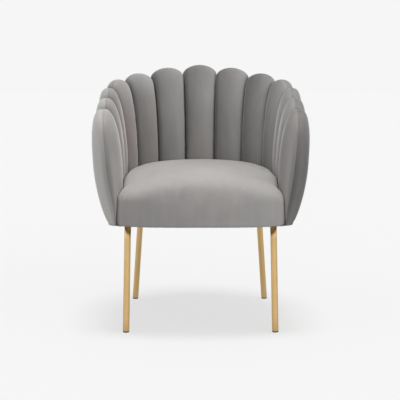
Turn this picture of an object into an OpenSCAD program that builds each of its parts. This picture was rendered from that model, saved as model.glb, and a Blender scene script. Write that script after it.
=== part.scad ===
// Occasional chair with a barrel back. Thirteen padded channels stand side by side around a
// bent plywood shell, each made of an inner and an outer pad that meet in a seam along the
// crest. The seat is one upholstered block that also covers the front rail, and four slanted
// metal tubes carry the frame. Millimetres, +Z up, the chair faces -Y, and the origin lies on
// the floor below the middle of the chair.

/* [Overall] */
// Height of the middle channel's top above the floor
back_h = 780; // [730:5:830]
// Height of the crest line above the floor, at the middle of each front channel
arm_h = 646; // [600:2:670]
// Height of the underside of the body above the floor
body_z = 317; // [290:1:340]
// How far the channels and the shell end above that underside
foot_lift = 4; // [0:0.5:6]
// Height of the top of the crowned seat above the floor
seat_h = 472; // [455:1:485]

/* [Back shell] */
// Radius of the middle of the shell wall at the underside of the body
shell_r = 255.2; // [245:0.2:265]
// Outward lean of the shell wall in degrees
shell_lean = 3.72; // [2:0.02:6]
// Thickness of the bent plywood
shell_t = 10; // [6:0.5:14]
// Length of each straight arm, from the middle of the barrel to the front seam
arm_len = 293; // [270:1:310]
// How far the shell's edge stays behind the front seam
edge_cover = 12; // [8:1:20]
// How far the shell's upper edge stays below the crest line
shell_drop = 62; // [50:1:76]

/* [Channels] */
// Number of channels on each side of the middle one
side_channels = 6; // [4:1:7]
// Greatest depth of a channel pad, from the middle of the shell wall
pad_depth = 41; // [36:0.5:42.5]
// Share of that depth left at the bottom of a groove
groove_share = 0.42; // [0.36:0.01:0.6]
// Rise of each arched top above the notches beside it
arch_rise = 31; // [15:0.5:34]
// Share of the crest line's slope that an arched top doesn't follow
arch_level = 0.5; // [0:0.05:0.7]
// How far the crest line sags between the back and the arms
crest_sag = 7.5; // [0:0.5:10]
// How far the crest of the front channel falls to its front seam
front_fall = 60; // [40:1:80]
// Height of the fullest part of a pad, as a share of its height
belly_share = 0.52; // [0.45:0.01:0.6]
// How far the front seam bends inward at its lower end
seam_bend = 20; // [0:1:20]
// Height at which the front seam starts to bend inward
bend_z = 560; // [520:5:580]

/* [Seat] */
// Half the width of the seat between the channels
seat_half_w = 225.2; // [215:0.1:225.2]
// Half the width of the seat at its front corners
front_half_w = 235.2; // [226:0.2:235.2]
// How much further the seat's sides stand out low down beside the front corners
side_swell = 3.5; // [0:0.5:3.5]
// Distance from the middle of the barrel to the seat's front corners
seat_reach = 290; // [284:1:296]
// How far the front edge bows forward of its corners
front_bow = 28; // [15:1:34]
// Radius of the front corners in plan
corner_r = 14; // [10:1:20]
// How far the seat's back edge lies below its top
back_fall = 18; // [10:1:30]
// How far the seat's side edges lie below its top
side_fall = 42; // [20:1:50]
// How far the seat's front edge lies below its top
front_edge_fall = 84; // [60:1:95]

/* [Seat frame] */
// Height of the frame rails
rail_h = 60; // [50:1:65]
// Thickness of the frame rails
rail_t = 22; // [18:0.5:24]
// Half the length of the front rail
front_rail_half = 215; // [205:1:216]
// Depth of upholstery in front of the front rail
apron_t = 18; // [14:0.5:24]
// Height of the corner blocks
block_h = 34; // [28:1:45]
// Length of the front corner blocks along the side rails
block_l = 104; // [92:1:120]
// Width of the front corner blocks along the front rail
block_w = 92; // [82:1:110]
// Width of each elastic strap
strap_w = 50; // [40:1:60]
// Thickness of each elastic strap
strap_t = 1.2; // [1:0.1:2]
// Number of straps from front to back
straps_long = 5; // [3:1:5]
// Number of straps from side to side
straps_cross = 5; // [3:1:5]
// Distance between the middles of neighbouring straps that run from front to back
strap_pitch = 76; // [64:1:80]
// Thickness of the felt between the straps and the seat
felt_t = 3; // [2:0.5:6]
// Thickness of the cloth under the frame
dust_t = 0.8; // [0.5:0.1:1.5]

/* [Legs] */
// Outer diameter of the leg tubes
tube_d = 19; // [16:0.5:25]
// Wall of the leg tubes
tube_wall = 1.5; // [1.2:0.1:2.5]
// Sideways place of the front feet
front_foot_x = 217.5; // [205:0.5:230]
// Distance of the front feet in front of the middle of the barrel
front_foot_y = 250; // [235:1:265]
// Sideways place of the front legs' upper ends
front_top_x = 211.5; // [205:0.5:214]
// Distance of the front legs' upper ends in front of the middle of the barrel
front_top_y = 220; // [212:1:226]
// Sideways place of the rear feet
rear_foot_x = 216.5; // [205:0.5:230]
// Distance of the rear feet behind the middle of the barrel
rear_foot_y = 190; // [175:1:205]
// Distance of the rear legs' upper ends from the middle of the barrel
rear_top_r = 237.5; // [232:0.5:240]
// Angle of the rear legs' upper ends from straight back, in degrees
rear_top_a = 54; // [48:1:60]
// Side of the square plate on top of each leg
plate_w = 60; // [54:1:64]
// Thickness of that plate
plate_t = 3; // [2:0.5:5]
// Radius of the plate's corners
plate_corner_r = 6; // [3:1:10]
// How far the plate's middle lies inward of the leg
plate_shift = 17; // [14:0.5:19]
// Distance of the screw holes from the plate's middle lines
hole_at = 20; // [18:0.5:22]
// Shank diameter of the leg screws
screw_d = 5; // [4:0.1:6]
// Length of the leg screws below their heads
screw_l = 28; // [20:1:32]
// Head diameter of the leg screws
screw_head_d = 10; // [8:0.1:11]
// Head height of the leg screws
screw_head_h = 3; // [2:0.1:4]
// Height of the glides under the tubes
glide_h = 4; // [3:0.5:8]
// Length of the glide stems inside the tubes
glide_stem = 16; // [10:1:25]

/* [Clearances] */
// Gap between rigid pieces that are fitted side by side
fit_gap = 0.3; // [0.1:0.05:0.5]
// Gap between soft pieces and their neighbours
soft_gap = 0.4; // [0.3:0.05:0.6]
// Gap around a screw in its hole
hole_gap = 0.3; // [0.1:0.05:0.5]

/* [Hidden] */
channels = 2 * side_channels + 1;
channel_names = [for (i = [1:channels]) i];

velvet = "#9a9795";
velvet_light = "#a9a6a4";
brass = "#c9a257";
timber = "#d8b98a";
plywood = "#c9a877";
webbing = "#3a3a3c";
felt = "#8a8783";
black = "#1c1c1e";
steel = "#8d9094";

// Heights of the layers under the seat
rail_top = body_z + rail_h;
long_strap_z = rail_top + fit_gap / 2;
cross_strap_z = long_strap_z + strap_t + fit_gap;
felt_z = cross_strap_z + strap_t + fit_gap;
pad_base_z = felt_z + felt_t + soft_gap;

// Heights of the layers under the frame
dust_z = body_z - fit_gap / 2 - dust_t;
plate_z = dust_z - fit_gap / 2 - plate_t;
screw_bore_h = screw_l + 2;

// Exponents of the rounded forms: 2 is an ellipse and more is squarer
outer_crest_power = 3;
inner_crest_power = 2.4;
foot_power = 1.76;
channel_power = 2.6;
arch_power = 1.9;
front_power = 2.1;
bow_power = 4;
sag_power = 5;
arc_fn = 128;
round_fn = 48;

// Least thickness of a pad beside the shell, and of its lip at the crest seam
pad_skin = 3;
seam_lip = 1.4;
pad_heights = 10;
pad_columns = 7;
far = 1000;

// A leaning wall: the middle of its thickness at a height
function wall_r(z) = shell_r + (z - body_z) * tan(shell_lean);

// The crest line falls from the back to the arms and sags a little on its way. The shell's
// upper edge stays below it in one plane.
crest_r = wall_r(back_h);
arc_len = PI / 2 * crest_r;
pitch = (arc_len + arm_len) / (side_channels + 0.5);
front_channel_y = arm_len - pitch / 2;
crest_slope = (back_h - arm_h) / (crest_r + front_channel_y);
function crest_plane(y) = arm_h + (y + front_channel_y) * crest_slope;
function crest_share(y) = max(0, (y + front_channel_y) / (crest_r + front_channel_y));
function crest_z(y) = crest_plane(y) - crest_sag * sin(180 * pow(crest_share(y), sag_power));
function shell_top(y) = crest_plane(y) - shell_drop;

// Ordinate of a unit superellipse
function bow(t, power) = pow(max(0, 1 - pow(min(1, abs(t)), power)), 1 / power);
function smooth(t) = let (c = min(1, max(0, t))) c * c * (3 - 2 * c);
function mix(a, b, t) = a + (b - a) * t;

// A point of the barrel's plan, a distance s along the crest from the middle of the back
function plan(s, r) =
    s <= arc_len
        ? let (a = s / arc_len * 90) [r * sin(a), r * cos(a)]
        : [r, arc_len - s];

// The front seam bends inward in its lower part
function seam_in(z) = z < bend_z ? seam_bend * pow((bend_z - z) / (bend_z - body_z), 2.4) : 0;

// How far a pad stands out at a height, as a share of its depth
function fullness(z, top, inward) =
    let (belly = mix(body_z, top, belly_share))
    z > belly
        ? bow((z - belly) / (top - belly), inward ? inner_crest_power : outer_crest_power)
        : bow((belly - z) / (belly - body_z), foot_power);

// Height of a pad's top at u: an arch over a crest that is more level than the crest line
function pad_top(index, u) =
    let (
        here = crest_z(plan(index * pitch + u * (pitch - soft_gap) / 2, crest_r)[1]),
        middle = crest_z(plan(index * pitch, crest_r)[1]),
        fall = index == side_channels && u > 0 ? front_fall : arch_rise
    )
    mix(here, middle, arch_level) - fall * (1 - bow(u, arch_power));

// One column of a pad at u, from -1 at its rear groove to 1 at its front groove or seam.
// It holds the visible side from the bottom to the crest, then the side against the shell.
function pad_column(index, u, inward) =
    let (
        s = index * pitch + u * (pitch - soft_gap) / 2,
        y = plan(s, crest_r)[1],
        at_front = index == side_channels && u > 0,
        past_shell = s > arc_len + arm_len - edge_cover,
        share = bow(u, at_front ? front_power : channel_power),
        depth = pad_depth * (at_front ? share : mix(groove_share, 1, share)),
        top = pad_top(index, u),
        step = min(shell_top(y) + soft_gap, top - edge_cover),
        bottom = inward && !past_shell ? pad_base_z : body_z + foot_lift,
        bend = past_shell ? (s - arc_len - arm_len + edge_cover) / edge_cover : 0,
        lower = [for (k = [0:pad_heights - 5]) mix(bottom, step, pow(k / (pad_heights - 4), 1.5))],
        upper = [for (k = [3:-1:0]) mix(top, step, k * k / 9)],
        heights = concat(lower, upper),
        face = shell_t / 2 + soft_gap,
        backs = [for (z = heights) past_shell || z > step + soft_gap ? soft_gap / 2 : face],
        least = [for (b = backs) b + (b == face ? pad_skin : seam_lip)],
        full = [for (z = heights) fullness(z, top, inward)],
        fronts = [for (k = [0:len(heights) - 1]) max(least[k], depth * full[k])],
        turn = inward ? -1 : 1
    )
    concat(
        [for (k = [0:len(heights) - 1])
            let (z = heights[k], r = wall_r(z) - bend * seam_in(z) + turn * fronts[k])
            [each plan(s, r), z]],
        [for (k = [len(heights) - 1:-1:0])
            let (z = heights[k], r = wall_r(z) - bend * seam_in(z) + turn * backs[k])
            [each plan(s, r), z]]
    );

// Places of a pad's columns, closer together beside the grooves. The front channel's pads
// have two columns on either side of the shell's edge, where they step in to the seam.
edge_u = 1 - 2 * edge_cover / pitch;
edge_step = 2 * soft_gap / pitch;
plain_places = [for (k = [0:pad_columns - 1]) sin(mix(-90, 90, k / (pad_columns - 1)))];
front_places = concat(
    [for (u = plain_places) if (u < edge_u - 0.1) u],
    [edge_u - edge_step, edge_u + edge_step],
    [mix(edge_u, 1, 0.6), 1]
);

// A closed solid through columns that all have the same number of points
module loft(columns, flip) {
    count = len(columns[0]);
    last = len(columns) - 1;
    points = [for (column = columns) each column];
    walls = [
        for (c = [0:last - 1], k = [0:count - 1])
            let (a = c * count + k, b = c * count + (k + 1) % count)
            each [[a, b, b + count], [a, b + count, a + count]]
    ];
    caps = [
        for (k = [0:count / 2 - 2])
            let (a = k, b = k + 1, d = count - 1 - k, e = count - 2 - k, z = last * count)
            each [[a, d, b], [b, d, e], [z + a, z + b, z + d], [z + b, z + e, z + d]]
    ];
    faces = concat(walls, caps);
    polyhedron(points, flip ? [for (f = faces) [f[2], f[1], f[0]]] : faces);
}

// A pad of the channel that lies index places from the middle one, on the chair's left side
module channel_pad(index, inward) {
    places = index == side_channels ? front_places : plain_places;
    columns = [for (u = places) pad_column(index, u, inward)];
    loft(columns, inward);
}

// Channels are counted from the left front one, round the back, to the right front one
module channel(number, inward) {
    index = abs(number - side_channels - 1);
    on_left = number <= side_channels;
    color(inward ? velvet_light : velvet)
    centred()
    mirror([on_left ? 1 : 0, 0, 0])
    channel_pad(index, inward);
}

module inner_channel(number) {
    channel(number, true);
}

module outer_channel(number) {
    channel(number, false);
}

// The chair is moved so that its box is centred over the origin
back_reach = max([
    for (k = [0:100])
        let (z = mix(body_z, back_h, k / 100))
        wall_r(z) + pad_depth * fullness(z, back_h, false)
]);
front_reach = seat_reach + front_bow;
centre_y = (front_reach - back_reach) / 2;

module centred() {
    translate([0, centre_y, 0]) children();
}

module both_sides() {
    children();
    mirror([1, 0, 0]) children();
}

// Section of a leaning wall between two distances from its middle
module wall_section(inner, outer, low, high) {
    polygon([
        [wall_r(low) + inner, low],
        [wall_r(low) + outer, low],
        [wall_r(high) + outer, high],
        [wall_r(high) + inner, high]
    ]);
}

module arm_wall(inner, outer, low, high, from, to) {
    translate([0, -from, 0])
    rotate([90, 0, 0])
    linear_extrude(to - from)
    wall_section(inner, outer, low, high);
}

module back_wall(inner, outer, low, high) {
    rotate_extrude(angle = 180, $fn = arc_fn)
    wall_section(inner, outer, low, high);
}

// The bent plywood shell, cut level with the falling crest
module back_shell() {
    half = shell_t / 2;
    color(plywood)
    centred()
    difference() {
        union() {
            back_wall(-half, half, body_z + foot_lift, back_h);
            both_sides() arm_wall(-half, half, body_z + foot_lift, back_h, 0, arm_len - edge_cover);
        }
        translate([0, 0, shell_top(0)])
        rotate([atan(crest_slope), 0, 0])
        translate([-far, -far, 0])
        cube([2 * far, 2 * far, far]);
    }
}

// Plan of the bowed front: a disc whose edge is the front rail's front face, less an inset
rail_front_y = front_reach - apron_t;
bow_r = (pow(front_half_w, 2) + pow(front_bow, 2)) / (2 * front_bow);

module bow_disc(inset) {
    translate([0, bow_r - rail_front_y]) circle(r = bow_r - inset, $fn = 4 * arc_fn);
}

function bow_y(x) = bow_r - rail_front_y - sqrt(pow(bow_r, 2) - pow(x, 2));

rail_out = -shell_t / 2 - fit_gap;
rail_in = rail_out - rail_t;
side_rail_len = -bow_y(front_rail_half) - rail_t;

module back_rail() {
    color(timber)
    centred()
    difference() {
        back_wall(rail_in, rail_out, body_z, rail_top);
        screw_bores();
    }
}

module side_rail() {
    difference() {
        arm_wall(rail_in, rail_out, body_z, rail_top, fit_gap, side_rail_len);
        screw_bores();
    }
}

module left_side_rail() {
    color(timber) centred() mirror([1, 0, 0]) side_rail();
}

module right_side_rail() {
    color(timber) centred() side_rail();
}

module front_rail() {
    color(timber)
    centred()
    translate([0, 0, body_z])
    linear_extrude(rail_h)
    intersection() {
        difference() {
            bow_disc(0);
            bow_disc(rail_t);
        }
        translate([-front_rail_half, -front_reach]) square([2 * front_rail_half, rail_front_y]);
    }
}

// A front block fills the corner between the side rail and the bowed front rail
module front_corner_blocks() {
    edge_x = wall_r(body_z) + rail_in - fit_gap;
    edge_y = side_rail_len;
    cut = 0.4 * block_w;
    color(timber)
    centred()
    both_sides()
    difference() {
        translate([0, 0, body_z])
        linear_extrude(block_h)
        intersection() {
            polygon([
                [edge_x, -edge_y + block_l],
                [edge_x - block_w + cut, -edge_y + block_l],
                [edge_x - block_w, -edge_y + block_l - cut],
                [edge_x - block_w, -front_reach],
                [edge_x, -front_reach]
            ]);
            bow_disc(rail_t + fit_gap);
        }
        screw_bores();
    }
}

// A rear block lies inside the curved back rail, above each rear leg
module rear_corner_blocks() {
    outer_r = wall_r(body_z) + rail_in - fit_gap;
    depth = plate_w - plate_shift;
    color(timber)
    centred()
    both_sides()
    difference() {
        translate([0, 0, body_z])
        linear_extrude(block_h)
        intersection() {
            circle(r = outer_r, $fn = arc_fn);
            rotate(-rear_top_a)
            translate([-block_w / 2, outer_r - depth])
            square([block_w, 2 * depth]);
        }
        screw_bores();
    }
}

// Straps run from rail to rail, in two layers
strap_end = rail_in + 0.75 * rail_t;
strap_end_r = wall_r(body_z) + strap_end;
function strap_back(x) = sqrt(pow(strap_end_r, 2) - pow(x, 2));

module long_straps() {
    color(webbing)
    centred()
    for (k = [0:straps_long - 1]) {
        x = (k - (straps_long - 1) / 2) * strap_pitch;
        reach_x = abs(x) + strap_w / 2;
        front = bow_y(reach_x) + 0.25 * rail_t;
        translate([x - strap_w / 2, front, long_strap_z])
        cube([strap_w, strap_back(reach_x) - front, strap_t]);
    }
}

module cross_straps() {
    middle_y = (strap_end_r - side_rail_len) / 2;
    pitch_y = (strap_end_r + side_rail_len - strap_w) / (straps_cross + 1);
    color(webbing)
    centred()
    for (k = [0:straps_cross - 1]) {
        y = middle_y + (k - (straps_cross - 1) / 2) * pitch_y;
        reach_x = strap_back(max(0, y + strap_w / 2));
        translate([-reach_x, y - strap_w / 2, cross_strap_z])
        cube([2 * reach_x, strap_w, strap_t]);
    }
}

// Plan of the frame: the barrel's half circle, its straight arms and the bowed front
module frame_plan(r, inset) {
    circle(r = r, $fn = arc_fn);
    intersection() {
        translate([-r, -front_reach]) square([2 * r, front_reach]);
        bow_disc(inset);
    }
}

module seat_felt() {
    color(felt)
    centred()
    translate([0, 0, felt_z])
    linear_extrude(felt_t)
    intersection() {
        frame_plan(strap_end_r, 0.25 * rail_t);
        translate([-far, -side_rail_len]) square(2 * far);
    }
}

module dust_cover() {
    color(black)
    centred()
    difference() {
        translate([0, 0, dust_z])
        linear_extrude(dust_t)
        intersection() {
            frame_plan(strap_end_r, 0.25 * rail_t);
            translate([-far, -rail_front_y]) square(2 * far);
        }
        screw_bores();
    }
}

// Plan of the seat, from the right side round the back and then along the bowed front. The
// sides widen towards the front corners.
corner_at = [front_half_w - corner_r, seat_reach - corner_r];
flare_y = corner_at[1] - 36;
side_stops = [0.5, 1];
flare_stops = [0.45, 0.75];
front_stops = [-0.92, -0.78, -0.6, -0.4, -0.2, 0, 0.2, 0.4, 0.6, 0.78, 0.92];
function flare_at(t) =
    [mix(seat_half_w, front_half_w, pow(t, 2)), -mix(flare_y, corner_at[1], t)];
seat_plan = concat(
    [for (k = [0:16]) let (a = k * 180 / 16) seat_half_w * [cos(a), sin(a)]],
    [for (t = side_stops) [-seat_half_w, -t * flare_y]],
    [for (t = flare_stops) let (p = flare_at(t)) [-p[0], p[1]]],
    [for (a = [180:30:270]) -corner_at + corner_r * [cos(a), sin(a)]],
    [for (f = front_stops) [f * corner_at[0], front_edge_y(f)]],
    [for (a = [270:30:360]) [corner_at[0], -corner_at[1]] + corner_r * [cos(a), sin(a)]],
    [for (k = [1:-1:0]) flare_at(flare_stops[k])],
    [for (k = [1:-1:0]) [seat_half_w, -side_stops[k] * flare_y]]
);
function front_edge_y(f) = -seat_reach - front_bow * (1 - pow(abs(f), bow_power));

// How far a point of the plan belongs to the front, which reaches down to the underside
function apron_share(p) = smooth((-p[1] - flare_y) / (corner_at[1] - flare_y));
function draw_in(p, d) = p * (1 - d / norm(p));
function seat_low(p) = mix(pad_base_z, body_z, apron_share(p));

// The inner face of the apron runs just in front of the front rail
apron_gap = soft_gap;
function apron_back(p) =
    apron_share(p) > 0
        ? [min(front_half_w, max(-front_half_w, p[0])) * 0.975,
            max(p[1] + 4, mix(p[1], bow_y(p[0]) - apron_gap, apron_share(p)))]
        : draw_in(p, 4);

// The dome's edge lies lower at the sides, and lowest at the front, where it is also softer
seat_side_z = seat_h - side_fall;
function ahead(p) = smooth((-p[1] / seat_reach - 0.5) / 0.5);
function edge_z(p) = p[1] > 0
    ? mix(seat_side_z, seat_h - back_fall, smooth(p[1] / seat_half_w))
    : mix(seat_side_z, seat_h - front_edge_fall, ahead(p));
function edge_power(p) =
    mix(3, mix(2.1, 3.4, 1 - smooth(abs(p[0]) / seat_half_w)), ahead(p));
function dome_ring(a) =
    [for (p = seat_plan)
        let (power = edge_power(p))
        [each p * pow(cos(a), 2 / power), mix(edge_z(p), seat_h, pow(sin(a), 2 / power))]];
function swell_ring(f) =
    [for (p = seat_plan)
        let (out = side_swell * apron_share(p) * smooth((abs(p[0]) - corner_at[0]) / corner_r))
        [p[0] + sign(p[0]) * out, p[1], mix(seat_low(p), edge_z(p), f)]];

seat_rings = [
    [for (p = seat_plan) [each apron_back(p), pad_base_z]],
    [for (p = seat_plan) [each draw_in(apron_back(p), -0.8), seat_low(p)]],
    [for (p = seat_plan) [each draw_in(p, 3), seat_low(p)]],
    [for (p = seat_plan) [each draw_in(p, 1), seat_low(p) + 5]],
    swell_ring(0.45),
    for (a = [0, 14, 28, 42, 56, 70]) dome_ring(a)
];

// A closed solid through rings of equal length, with a middle point below and above
module ring_loft(rings, low_point, high_point) {
    count = len(rings[0]);
    last = len(rings) - 1;
    points = concat([for (ring = rings) each ring], [low_point, high_point]);
    low = count * (last + 1);
    walls = [
        for (c = [0:last - 1], k = [0:count - 1])
            let (a = c * count + k, b = c * count + (k + 1) % count)
            each [[a, b + count, b], [a, a + count, b + count]]
    ];
    lid = [for (k = [0:count - 1]) [last * count + k, low + 1, last * count + (k + 1) % count]];
    floor_faces = [for (k = [0:count - 1]) [k, (k + 1) % count, low]];
    polyhedron(points, concat(walls, lid, floor_faces));
}

module seat_pad() {
    color(velvet_light)
    centred()
    ring_loft(seat_rings, [0, 0, pad_base_z], [0, 0, seat_h]);
}

// Legs: an upper end under the plate and a foot on the floor, both relative to the barrel
front_top = [front_top_x, -front_top_y];
front_foot = [front_foot_x, -front_foot_y];
rear_top = rear_top_r * [sin(rear_top_a), cos(rear_top_a)];
rear_foot = [rear_foot_x, rear_foot_y];

// Places its children along a leg's line, with +Z towards the upper end and 0 on the floor,
// and turned a quarter about that line
module along_leg(top, foot) {
    run = [top[0] - foot[0], top[1] - foot[1], plate_z];
    translate([foot[0], foot[1], 0])
    rotate([0, acos(run[2] / norm(run)), atan2(run[1], run[0])])
    rotate(90)
    children();
}

module between_levels(low, high) {
    intersection() {
        children();
        translate([-far, -far, low]) cube([2 * far, 2 * far, high - low]);
    }
}

module leg_tube(top, foot) {
    between_levels(glide_h, plate_z)
    along_leg(top, foot)
    translate([0, 0, -tube_d])
    difference() {
        cylinder(d = tube_d, h = plate_z + 4 * tube_d, $fn = round_fn);
        cylinder(d = tube_d - 2 * tube_wall, h = plate_z + 4 * tube_d, $fn = round_fn);
    }
}

module front_left_leg() {
    color(brass) centred() mirror([1, 0, 0]) leg_tube(front_top, front_foot);
}

module front_right_leg() {
    color(brass) centred() leg_tube(front_top, front_foot);
}

module rear_left_leg() {
    color(brass) centred() mirror([1, 0, 0]) leg_tube(rear_top, rear_foot);
}

module rear_right_leg() {
    color(brass) centred() leg_tube(rear_top, rear_foot);
}

// A glide is a flat foot with a stem that plugs into the tube
module glide(top, foot) {
    line = (top - foot) / plate_z;
    middle = foot + line * glide_h / 2;
    translate([middle[0], middle[1], 0])
    cylinder(d = tube_d - 1, h = glide_h - fit_gap / 2, $fn = round_fn);
    between_levels(glide_h / 2, glide_h + glide_stem)
    along_leg(top, foot)
    cylinder(d = tube_d - 2 * tube_wall - 2 * hole_gap, h = 2 * glide_stem + glide_h, $fn = round_fn);
}

module glides() {
    color(black)
    centred()
    both_sides() {
        glide(front_top, front_foot);
        glide(rear_top, rear_foot);
    }
}

// The front plates lie inward of their legs sideways, and the rear plates along the radius
module at_front_plate() {
    translate([front_top[0] - plate_shift, front_top[1], plate_z]) children();
}

module at_rear_plate() {
    rotate(-rear_top_a) translate([0, rear_top_r - plate_shift, plate_z]) children();
}

module at_holes() {
    for (x = [-hole_at, hole_at], y = [-hole_at, hole_at]) translate([x, y, 0]) children();
}

module plate() {
    inner = plate_w / 2 - plate_corner_r;
    difference() {
        hull()
        for (x = [-inner, inner], y = [-inner, inner])
            translate([x, y, 0]) cylinder(r = plate_corner_r, h = plate_t, $fn = 32);
        at_holes()
        translate([0, 0, -1])
        cylinder(d = screw_d + 2 * hole_gap, h = plate_t + 2, $fn = round_fn);
    }
}

module front_left_plate() {
    color(brass) centred() mirror([1, 0, 0]) at_front_plate() plate();
}

module front_right_plate() {
    color(brass) centred() at_front_plate() plate();
}

module rear_left_plate() {
    color(brass) centred() mirror([1, 0, 0]) at_rear_plate() plate();
}

module rear_right_plate() {
    color(brass) centred() at_rear_plate() plate();
}

// Bores for the leg screws, through the cloth and into the rails and blocks
module screw_bores() {
    both_sides() {
        at_front_plate() bores();
        at_rear_plate() bores();
    }
}

module bores() {
    at_holes()
    cylinder(d = screw_d + 2 * hole_gap, h = plate_t + screw_bore_h, $fn = round_fn);
}

module leg_screw() {
    translate([0, 0, -fit_gap / 2 - screw_head_h])
    cylinder(d = screw_head_d, h = screw_head_h, $fn = round_fn);
    translate([0, 0, -fit_gap / 2 - screw_head_h / 2])
    cylinder(d = screw_d, h = screw_l + screw_head_h / 2, $fn = round_fn);
}

module leg_screws() {
    color(steel)
    centred()
    both_sides() {
        at_front_plate() at_holes() leg_screw();
        at_rear_plate() at_holes() leg_screw();
    }
}

for (i = channel_names) {
    inner_channel(i);
    outer_channel(i);
}
seat_pad();
back_shell();
front_rail();
left_side_rail();
right_side_rail();
back_rail();
front_corner_blocks();
rear_corner_blocks();
long_straps();
cross_straps();
seat_felt();
dust_cover();
front_left_leg();
front_right_leg();
rear_left_leg();
rear_right_leg();
front_left_plate();
front_right_plate();
rear_left_plate();
rear_right_plate();
leg_screws();
glides();
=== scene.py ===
import logging
import math
import random
from dataclasses import dataclass, field
from enum import Enum
from typing import Callable, Iterable, Sequence

import bmesh
import bpy
from bmesh.types import BMesh, BMVert
from bpy.types import Material, Object
from mathutils import Matrix, Vector, noise


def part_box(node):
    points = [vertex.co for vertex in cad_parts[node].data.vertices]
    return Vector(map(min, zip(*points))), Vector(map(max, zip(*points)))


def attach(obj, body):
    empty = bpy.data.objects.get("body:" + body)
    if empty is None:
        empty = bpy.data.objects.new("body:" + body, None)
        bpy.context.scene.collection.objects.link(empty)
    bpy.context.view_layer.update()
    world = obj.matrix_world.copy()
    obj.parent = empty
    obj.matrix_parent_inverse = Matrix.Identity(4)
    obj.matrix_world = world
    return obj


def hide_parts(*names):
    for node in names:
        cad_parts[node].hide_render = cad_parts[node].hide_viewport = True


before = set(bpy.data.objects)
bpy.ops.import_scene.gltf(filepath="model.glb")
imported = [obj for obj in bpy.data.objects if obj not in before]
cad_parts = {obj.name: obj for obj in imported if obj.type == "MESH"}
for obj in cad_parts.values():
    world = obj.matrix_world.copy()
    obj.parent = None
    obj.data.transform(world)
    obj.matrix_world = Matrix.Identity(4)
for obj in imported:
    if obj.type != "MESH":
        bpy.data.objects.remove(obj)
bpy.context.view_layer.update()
LOG = logging.getLogger("occasional_chair")
MM = 0.001
# A length or a share that counts as nothing
TINY = 1e-6
QUARTER = math.pi / 2.0

Pair = tuple[float, float]
Triple = tuple[float, float, float]
Colour = Triple
Curve = Callable[[float], Pair]
Weight = Callable[[float], float]


class Face(Enum):
    """The two sides of the channel wall; the value is the way a cover swells from the shell."""

    INNER = -1
    OUTER = 1


# Small maths

def mix(low: float, high: float, share: float) -> float:
    """A value between low and high."""
    return low + (high - low) * share


def smooth(share: float) -> float:
    """Eases a share from 0 to 1."""
    held = min(1.0, max(0.0, share))
    return held * held * (3.0 - 2.0 * held)


def bow(place: float, power: float) -> float:
    """Ordinate of a unit superellipse: 2 is an ellipse and more is squarer."""
    return max(0.0, 1.0 - min(1.0, abs(place)) ** power) ** (1.0 / power)


def bell(place: float, middle: float, width: float) -> float:
    """Falls from 1 at the middle towards 0 on both sides."""
    return math.exp(-((place - middle) / width) ** 2)


def even_stops(curve: Curve, low: float, high: float, count: int, weight: Weight) -> list[float]:
    """Splits a plane curve into stretches of equal weighted length.

    Args:
        curve: Gives a point of the curve for a parameter.
        low: The first parameter.
        high: The last parameter.
        count: How many stretches there are.
        weight: How much the length counts at a parameter; more gives closer stops.

    Returns:
        The parameters of the stops, both ends included.
    """
    samples = 800
    places = [mix(low, high, k / samples) for k in range(samples + 1)]
    points = [curve(place) for place in places]
    run = [0.0]
    for k in range(samples):
        step = math.dist(points[k], points[k + 1])
        run.append(run[-1] + step * weight(0.5 * (places[k] + places[k + 1])))
    stops = []
    k = 0
    for number in range(count + 1):
        target = run[-1] * number / count
        while k < samples - 1 and run[k + 1] < target:
            k += 1
        share = (target - run[k]) / max(run[k + 1] - run[k], TINY ** 2)
        stops.append(mix(places[k], places[k + 1], min(1.0, share)))
    return stops


# Shader tools

def operator(operation: str, swapped: bool = False) -> Callable[..., "Socket"]:
    """Makes an arithmetic method for sockets.

    Args:
        operation: The Math node's operation.
        swapped: Whether the socket is the second value, as in reflected operators.

    Returns:
        The method.
    """
    def method(self: "Socket", other: "Socket | float") -> "Socket":
        """Adds the Math node and returns its result."""
        first, second = (other, self) if swapped else (self, other)
        return self.shader.node("ShaderNodeMath", {"operation": operation}, {0: first, 1: second})

    return method


class Socket:
    """A shader socket that takes part in Python arithmetic on values."""

    def __init__(self, shader: "Shader", socket: bpy.types.NodeSocket) -> None:
        """Wraps a socket of a shader's tree."""
        self.shader = shader
        self.socket = socket

    __add__, __radd__ = operator("ADD"), operator("ADD", swapped=True)
    __sub__, __rsub__ = operator("SUBTRACT"), operator("SUBTRACT", swapped=True)
    __mul__, __rmul__ = operator("MULTIPLY"), operator("MULTIPLY", swapped=True)


Input = Socket | float | Sequence[float]
WHITE: Colour = (1.0, 1.0, 1.0)


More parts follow.
